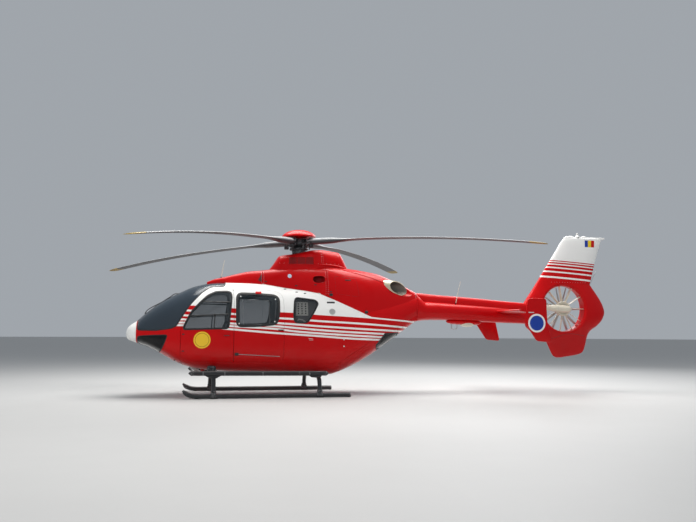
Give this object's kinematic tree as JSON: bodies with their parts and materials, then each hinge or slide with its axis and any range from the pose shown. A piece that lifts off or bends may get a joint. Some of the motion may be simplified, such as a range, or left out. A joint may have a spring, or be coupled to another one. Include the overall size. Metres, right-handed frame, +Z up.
{
  "type": "light twin-engine helicopter",
  "caption": "Light helicopter on skids with a bladed main rotor, shrouded tail rotor, swinging cab doors and clamshell rear doors.",
  "frame": {"origin": "centre of the bounding box, at the skids' undersides", "axes": "+X runs aft from nose to tail, +Y to starboard, +Z up"},
  "size_m": [11.0509, 8.1182, 3.499],
  "materials": {
    "glass": "dark tint, gloss",
    "blades": "satin",
    "dark_metal": "satin",
    "upholstery": "woven",
    "panel_black": "matt",
    "cabin_grey": "matt",
    "machinery": "satin",
    "cream_metal": "satin",
    "light_metal": "satin",
    "white_composite": "painted composite, gloss",
    "red_composite": "painted composite, gloss",
    "red_paint": "gloss"
  },
  "bodies": {
    "airframe": {"cabin_frame": "red_paint", "nose_cap": "white_composite", "cabin_floor": "cabin_grey", "windscreen_left": "glass", "chin_window_left": "glass", "sliding_door_left": "red_paint", "sliding_door_glass_left": "glass", "rear_side_glass_left": "glass", "windscreen_right": "glass", "chin_window_right": "glass", "sliding_door_right": "red_paint", "sliding_door_glass_right": "glass", "rear_side_glass_right": "glass", "forward_fairing": "red_composite", "gearbox_cowling": "red_composite", "engine_cowling": "red_composite", "mast_fairing": "red_composite", "exhaust_left": "cream_metal", "exhaust_right": "cream_metal", "engine_left": "machinery", "engine_right": "machinery", "main_gearbox": "machinery", "tail_boom": "red_composite", "tail_fin": "red_composite", "fin_beacon": "light_metal", "horizontal_stabiliser": "red_composite", "end_plate_left": "red_composite", "end_plate_right": "red_composite", "tail_stator": "cream_metal", "skid_left": "dark_metal", "skid_right": "dark_metal", "cross_tube_front": "dark_metal", "cross_tube_rear": "dark_metal", "step_left": "dark_metal", "step_right": "dark_metal", "pilot_seat_left": "upholstery", "pilot_seat_right": "upholstery", "instrument_panel": "panel_black", "cabin_seats": "upholstery", "stretcher": "upholstery", "equipment_cabinet": "cabin_grey"},
    "front_door_left": {"front_door_left": "red_paint", "front_door_glass_left": "glass"},
    "front_door_right": {"front_door_right": "red_paint", "front_door_glass_right": "glass"},
    "rear_door_left": {"rear_door_left": "red_paint", "rear_door_glass_left": "glass"},
    "rear_door_right": {"rear_door_right": "red_paint", "rear_door_glass_right": "glass"},
    "main_rotor": {"rotor_mast": "machinery", "hub_cap": "red_composite", "swashplate": "dark_metal", "main_blade_1": "blades", "main_blade_2": "blades", "main_blade_3": "blades", "main_blade_4": "blades"},
    "tail_rotor_body": {"tail_rotor": "light_metal"}
  },
  "joints": [
    {"name": "main_rotor_spin", "type": "hinge", "parent": "airframe", "child": "main_rotor", "pos_m": [-1.4745, 0, 3.103], "axis": [-0.021, 0, 0.9998], "continuous": true},
    {"name": "tail_rotor_spin", "type": "hinge", "parent": "airframe", "child": "tail_rotor_body", "pos_m": [4.4325, 0.062, 1.79], "axis": [0, 1, 0], "continuous": true},
    {"name": "front_door_left_swing", "type": "hinge", "parent": "airframe", "child": "front_door_left", "pos_m": [-3.8295, -0.714, 1.1], "axis": [0, 0, -1], "range_deg": [0, 75]},
    {"name": "front_door_right_swing", "type": "hinge", "parent": "airframe", "child": "front_door_right", "pos_m": [-3.8295, 0.714, 1.1], "axis": [0, 0, 1], "range_deg": [0, 75]},
    {"name": "rear_door_left_swing", "type": "hinge", "parent": "airframe", "child": "rear_door_left", "pos_m": [-0.1025, -0.6661, 1.0645], "axis": [-0.8357, -0.1493, -0.5285], "range_deg": [0, 85]},
    {"name": "rear_door_right_swing", "type": "hinge", "parent": "airframe", "child": "rear_door_right", "pos_m": [-0.1025, 0.6661, 1.0645], "axis": [0.8357, -0.1493, 0.5285], "range_deg": [0, 85]}
  ],
  "couplings": [
    {"joint": "tail_rotor_spin", "follows": "main_rotor_spin", "ratio": 9.07}
  ]
}
